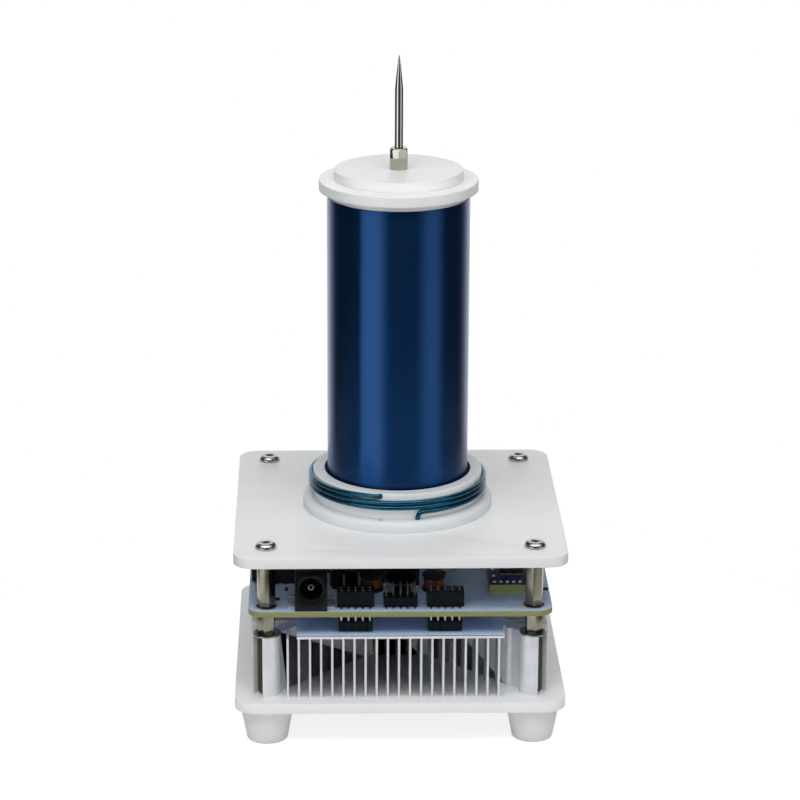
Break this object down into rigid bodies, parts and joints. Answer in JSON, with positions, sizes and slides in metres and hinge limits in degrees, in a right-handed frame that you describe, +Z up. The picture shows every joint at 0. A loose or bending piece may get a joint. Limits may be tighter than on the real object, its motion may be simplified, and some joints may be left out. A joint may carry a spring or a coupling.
{
  "type": "desktop resonant transformer",
  "caption": "Small resonant air-core transformer: tall wound tube with a discharge needle, short primary ring, driver boards and finned heat sink between square plates on feet.",
  "frame": {"origin": "on the table, below the centre of the square plates", "axes": "+Z up along the wound tube, -Y out of the power socket's mouth, +X to the right as seen from that side"},
  "size_m": [0.093, 0.093, 0.1881],
  "materials": {
    "white_acrylic": "satin",
    "white_foot": "matte",
    "white_plastic": "matte",
    "stainless": "polished",
    "nickel_plated_brass": "nickel plated",
    "sink_aluminium": "satin",
    "metal_core_board": "white lacquered top",
    "board_laminate": "white lacquer, olive edge",
    "module_laminate": "dark blue lacquer, olive edge",
    "black_plastic": "moulded",
    "tinned_metal": "tin plated",
    "solder": "bright",
    "ferrite": "matte",
    "copper": "clear enamel",
    "film_case": "moulded",
    "chip_ceramic": "matte",
    "blue_enamelled_copper": "gloss enamel",
    "teal_enamelled_copper": "gloss enamel"
  },
  "bodies": {
    "apparatus": {"base_plate": "white_acrylic", "feet": "white_foot", "foot_screws": "stainless", "heat_sink": "sink_aluminium", "channel_rods": "nickel_plated_brass", "post_washers": "stainless", "lower_standoffs": "nickel_plated_brass", "upper_standoffs": "nickel_plated_brass", "top_plate": "white_acrylic", "top_screws": "stainless", "power_board": "metal_core_board", "board_screws": "stainless", "power_transistors": "black_plastic", "transistor_tabs": "tinned_metal", "header_left": "black_plastic", "header_right": "black_plastic", "header_pins": "tinned_metal", "main_board": "board_laminate", "socket_left": "black_plastic", "socket_right": "black_plastic", "socket_feet": "tinned_metal", "spare_header": "black_plastic", "spare_header_pins": "tinned_metal", "dc_jack_body": "black_plastic", "dc_jack_pin": "tinned_metal", "dc_jack_tabs": "tinned_metal", "audio_jack_body": "black_plastic", "audio_jack_tabs": "tinned_metal", "module_carrier": "board_laminate", "module_board": "module_laminate", "module_chip": "black_plastic", "module_chip_pins": "tinned_metal", "module_pads": "solder", "bulk_capacitors": "black_plastic", "small_capacitors": "black_plastic", "choke_cores": "ferrite", "choke_windings": "copper", "film_capacitors": "film_case", "indicator_lamp": "white_plastic", "lamp_contacts": "tinned_metal", "driver_chips": "black_plastic", "driver_chip_pins": "tinned_metal", "chip_parts": "chip_ceramic", "solder_joints": "solder", "primary_flange": "white_plastic", "primary_former": "white_plastic", "primary_winding": "teal_enamelled_copper", "base_plug": "white_plastic", "base_screw": "stainless", "secondary_tube": "white_plastic", "secondary_winding": "blue_enamelled_copper", "cap_plug": "white_plastic", "cap_disc_lower": "white_acrylic", "cap_disc_upper": "white_acrylic", "cap_screw": "stainless", "needle_holder": "nickel_plated_brass", "ground_lead": "copper", "top_lead": "copper"},
    "needle": {"discharge_needle": "stainless"}
  },
  "joints": [
    {"name": "needle_lift", "type": "slide", "parent": "apparatus", "child": "needle", "axis": [0, 0, 1], "range_m": [0, 0.0038]}
  ]
}
